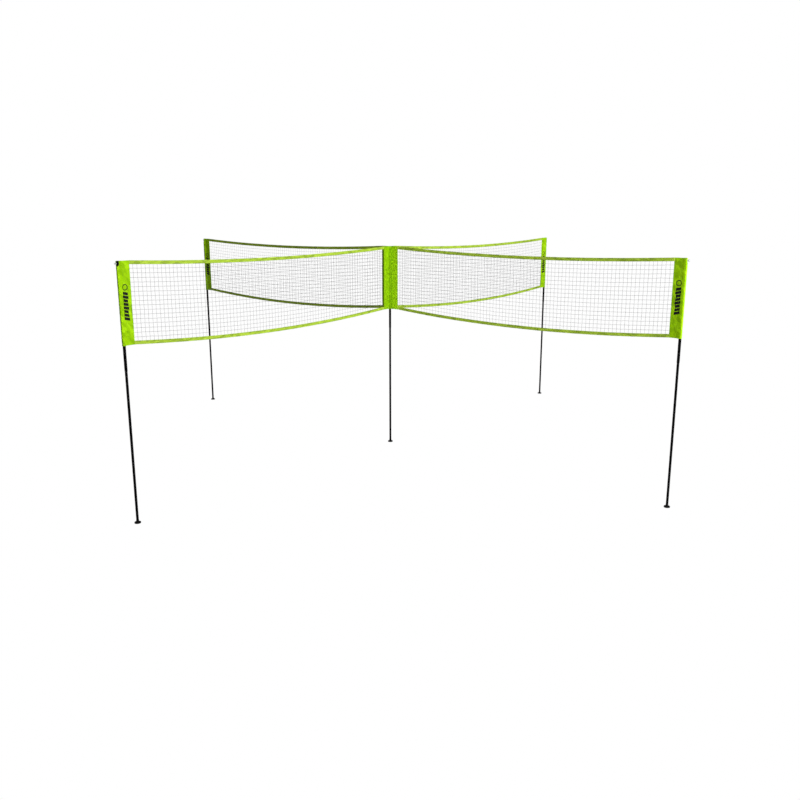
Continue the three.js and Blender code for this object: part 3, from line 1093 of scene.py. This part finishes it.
def bevelled(start, thickness, radius, inset, bevel):
    """The profile of a disc that begins at start, with bevelled rims."""
    end = start + thickness
    return [(0, start), (radius - inset, start), (radius, start + bevel),
            (radius, end - bevel), (radius - inset, end), (0, end)]


def eye_bolt_shape():
    """A welded ring on a threaded shank, with a collar and a hexagon nut against the tube."""
    ring_r = EYE_OUTER_R - EYE_WIRE_R
    centre = EYE_TIP - EYE_OUTER_R
    u = full_turn(56)[:, None]
    v = full_turn(16)[None, :]
    reach = ring_r + EYE_WIRE_R * np.cos(v)
    ring = grid_of(centre + reach * np.cos(u), EYE_WIRE_R * np.sin(v), EYE_Z + reach * np.sin(u))
    neck = centre - ring_r
    start = UPPER_R / 2
    shank = [(0, start)]
    for i in range(int((neck - 4 * MM - start) / SHANK_PITCH)):
        shank.append((SHANK_ROOT_R, start + i * SHANK_PITCH))
        shank.append((SHANK_CREST_R, start + (i + 0.5) * SHANK_PITCH))
    shank += [(SHANK_CREST_R, neck - 3.5 * MM), (SHANK_NECK_R, neck - 1.5 * MM)]
    shank += [(SHANK_NECK_R, neck), (0, neck)]
    face = UPPER_R + SLIDING_GAP
    collar = bevelled(face, 1.2 * MM, 5.5 * MM, 0.3 * MM, 0.3 * MM)
    nut = bevelled(face + 1.2 * MM, 2.8 * MM, 4.6 * MM, 0.5 * MM, 0.4 * MM)
    return moved_out(joined([
        (ring.reshape(-1, 3), grid_faces(*ring.shape[:2], wrap_rows=True, wrap_columns=True)),
        turned_along_x(shank, EYE_Z, 20),
        turned_along_x(collar, EYE_Z),
        turned_along_x(nut, EYE_Z, 6),
    ]), ARM_LENGTH)


# ---- putting the pieces on the frame

SHARP = math.radians(38)
CLOTH_CREASE = math.radians(70)
INK_CREASE = math.radians(50)


def attach(thing, body, node=None):
    """Rides a piece on a body, in place of a node of the frame if one is given."""
    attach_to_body(thing, body)
    if node:
        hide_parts(node)
    return thing


def build_pole(prefix, quarters, reach, base, head):
    rows = [
        ("foot", foot_shape, RUBBER, base, "foot_rubber"),
        ("lower_tube", lower_tube_shape, POWDER_COAT, base, "pole_black"),
        ("middle_tube", middle_tube_shape, POWDER_COAT, base, "pole_black"),
        ("snap_button", button_shape, ZINC, f"{prefix}_button", "bright_steel"),
        ("upper_tube", upper_tube_shape, POWDER_COAT, head, "pole_black"),
        ("top_cap", top_cap_shape, CAP_PLASTIC, head, "cap_plastic"),
    ]
    for piece, shape, material, body, slot in rows:
        node = f"{prefix}_{piece}"
        made = make_piece(f"{node}_look", moved_out(shape(), reach), material, quarters, SHARP)
        if piece in ("lower_tube", "middle_tube"):
            drilled(made, moved_out(button_hole_shape(), reach), quarters)
        attach(made, body, node)
    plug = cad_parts[f"{prefix}_friction_plug"]
    plug.data.materials.clear()
    plug.data.materials.append(NYLON)


def add_to_arm(quarters, piece, shape, material, node=None, crease=None):
    """A piece that rides on its arm, in place of one of the arm's nodes if one is named."""
    prefix = ARMS[quarters]
    made = make_piece(f"{prefix}_{piece}", shape, material, quarters, crease)
    return attach(made, f"{prefix}_arm", node and f"{prefix}_{node}")


def fitted(shape, quarters):
    """Moves an inner band's free edge to its own place, with what is sewn in it. The rest of the
    panel takes that up as far as SHIFT_END."""
    points, faces = shape
    x = points[:, 0]
    share = smoothstep(x, SLEEVE_R, INNER_REACH - HEM)
    share = share * (1 - smoothstep(x, INNER_REACH, SHIFT_END))
    moved = points.copy()
    moved[:, 0] += share * INNER_EDGE_SHIFT[quarters % 2]
    return moved, faces


def build_tape(quarters, tape):
    webbing = add_to_arm(quarters, f"{tape.name}_webbing", fitted(tape_shape(tape), quarters),
                         TAPE_CLOTH, tape.name)
    thread = add_to_arm(quarters, f"{tape.name}_stitches", fitted(tape_stitches(tape), quarters),
                        THREAD)


def build_outer_band(quarters, seed):
    band = add_to_arm(quarters, "outer_band_cloth", outer_band_shape(seed), BAND_CLOTH,
                      "outer_band", CLOTH_CREASE)
    thread = add_to_arm(quarters, "outer_band_stitches", outer_band_stitches(seed), THREAD)
    mark = add_to_arm(quarters, "mark", mark_shape(seed), INK, crease=INK_CREASE)


def build_inner_band(quarters, seed):
    prefix = ARMS[quarters]
    cloth = fitted(inner_band_shape(seed), quarters)
    # The inner band wears the darker cloth, whose colours are painted shade.
    band = make_piece(f"{prefix}_inner_band_cloth", cloth, INNER_CLOTH_PAINTED_SHADE, quarters, CLOTH_CREASE)
    sewing = fitted(inner_band_stitches(seed), quarters)
    thread = make_piece(f"{prefix}_inner_band_stitches", sewing, THREAD, quarters)
    for thing in (band, thread):
        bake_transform(thing)
    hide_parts(f"{prefix}_inner_band")


def build_net(quarters):
    """One panel. Each of its pieces draws from a seed of its own."""
    seed = 100 * (quarters + 1)
    add_to_arm(quarters, "twine_mesh", fitted(netting_shape(seed), quarters), TWINE,
               "netting")
    build_tape(quarters, Tape("top_tape", top_line, fold=1, share=1, seed=seed))
    build_tape(quarters, Tape("bottom_tape", bottom_line, fold=-1, share=0, seed=seed + 3))
    build_outer_band(quarters, seed + 10)
    build_inner_band(quarters, seed + 20)


def build_centre_sleeve():
    # The sleeve wears the inner bands' cloth, darkened with painted shade.
    cloth = make_piece("centre_sleeve_cloth", centre_sleeve_shape(), INNER_CLOTH_PAINTED_SHADE,
                       crease=CLOTH_CREASE)
    attach(cloth, "mast", "centre_sleeve")


build_pole("centre", 0, 0, "centre_base", "mast")
for quarters, prefix in enumerate(ARMS):
    build_pole(prefix, quarters, ARM_LENGTH, f"{prefix}_leg", f"{prefix}_arm")
build_centre_sleeve()
for quarters in range(len(ARMS)):
    build_net(quarters)
for quarters in range(len(ARMS)):
    add_to_arm(quarters, "eye_bolt_look", eye_bolt_shape(), ZINC, "eye_bolt", SHARP)

# ---- floor, world, light and camera

WHITE = (1, 1, 1, 1)
FLOOR_GREY = (0.6, 0.6, 0.6, 1)
FLOOR_HALF = 60
AMBIENT = 0.2


def two_sided(tree, lighting, shown, output):
    """Uses one shader for the light that falls on things, and another for what the camera sees."""
    path = add_node(tree, "ShaderNodeLightPath")
    mix = add_node(tree, "ShaderNodeMixShader", {
        "Fac": path.outputs["Is Camera Ray"], 1: lighting.outputs[0], 2: shown.outputs[0]})
    add_node(tree, output, {"Surface": mix.outputs[0]})


def build_floor():
    """A plain white floor that shows as bright as the backdrop."""
    corners = [(-FLOOR_HALF, -FLOOR_HALF, 0), (FLOOR_HALF, -FLOOR_HALF, 0),
               (FLOOR_HALF, FLOOR_HALF, 0), (-FLOOR_HALF, FLOOR_HALF, 0)]
    mesh = bpy.data.meshes.new("floor")
    mesh.from_pydata(corners, [], [(0, 1, 2, 3)])
    material, tree, _ = new_material("floor_white")
    tree.nodes.clear()
    glow = add_node(tree, "ShaderNodeEmission", values={"Color": WHITE})
    matt = add_node(tree, "ShaderNodeBsdfDiffuse", values={"Color": FLOOR_GREY})
    two_sided(tree, matt, glow, "ShaderNodeOutputMaterial")
    mesh.materials.append(material)
    new_object("floor", mesh)


def build_world():
    world = bpy.data.worlds.new("studio")
    bpy.context.scene.world = world
    world.use_nodes = True
    tree = world.node_tree
    tree.nodes.clear()
    backdrop = add_node(tree, "ShaderNodeBackground", values={"Color": WHITE})
    ambient = add_node(tree, "ShaderNodeBackground", values={"Color": WHITE, "Strength": AMBIENT})
    two_sided(tree, ambient, backdrop, "ShaderNodeOutputWorld")


def aimed(thing, place, direction):
    thing.location = place
    thing.rotation_mode = "QUATERNION"
    thing.rotation_quaternion = direction.to_track_quat("-Z", "Y")


def add_softbox(name, place, target, size, power, beam=180):
    """A soft rectangular lamp. A grid narrows its beam, given in degrees."""
    data = bpy.data.lights.new(name, "AREA")
    data.shape = "RECTANGLE"
    data.size, data.size_y = size
    data.energy = power
    data.spread = math.radians(beam)
    lamp = new_object(name, data)
    aimed(lamp, place, Vector(target) - Vector(place))
    lamp.visible_camera = False


# The camera's place is given from the centre pole's foot, in its own level directions.
CAMERA_AZIMUTH = math.radians(40.31)
CAMERA_PITCH = math.radians(13.21)
CAMERA_BACK = 10.029
CAMERA_RIGHT = 0.1215
CAMERA_HEIGHT = 2.892
LENS_MM = 37.12
FORWARD = Vector((-math.sin(CAMERA_AZIMUTH), math.cos(CAMERA_AZIMUTH), 0))
RIGHT = Vector((math.cos(CAMERA_AZIMUTH), math.sin(CAMERA_AZIMUTH), 0))
UP = Vector((0, 0, 1))


def build_camera():
    data = bpy.data.cameras.new("camera")
    data.lens = LENS_MM
    data.sensor_width = 36
    data.clip_end = 200
    camera = new_object("camera", data)
    place = RIGHT * CAMERA_RIGHT + FORWARD * -CAMERA_BACK + UP * CAMERA_HEIGHT
    aimed(camera, place, FORWARD * math.cos(CAMERA_PITCH) - UP * math.sin(CAMERA_PITCH))
    bpy.context.scene.camera = camera


build_floor()
build_world()
build_camera()
add_softbox("key", (12, -0.6, 5), (0, 0, 2), (4, 4), 1350)
add_softbox("front_fill", (2.2, -4.5, 2.05), (2.2, 0, 2.05), (4.4, 1.6), 5.5, 1)
add_softbox("middle_fill", (0.08, -4.5, 2.05), (0.08, 0, 2.05), (0.14, 1.6), 0.172, 1)
add_softbox("back_fill", (-9, 8, 5), (0, 0, 2), (4, 4), 350)
bpy.context.scene.view_settings.view_transform = "Standard"
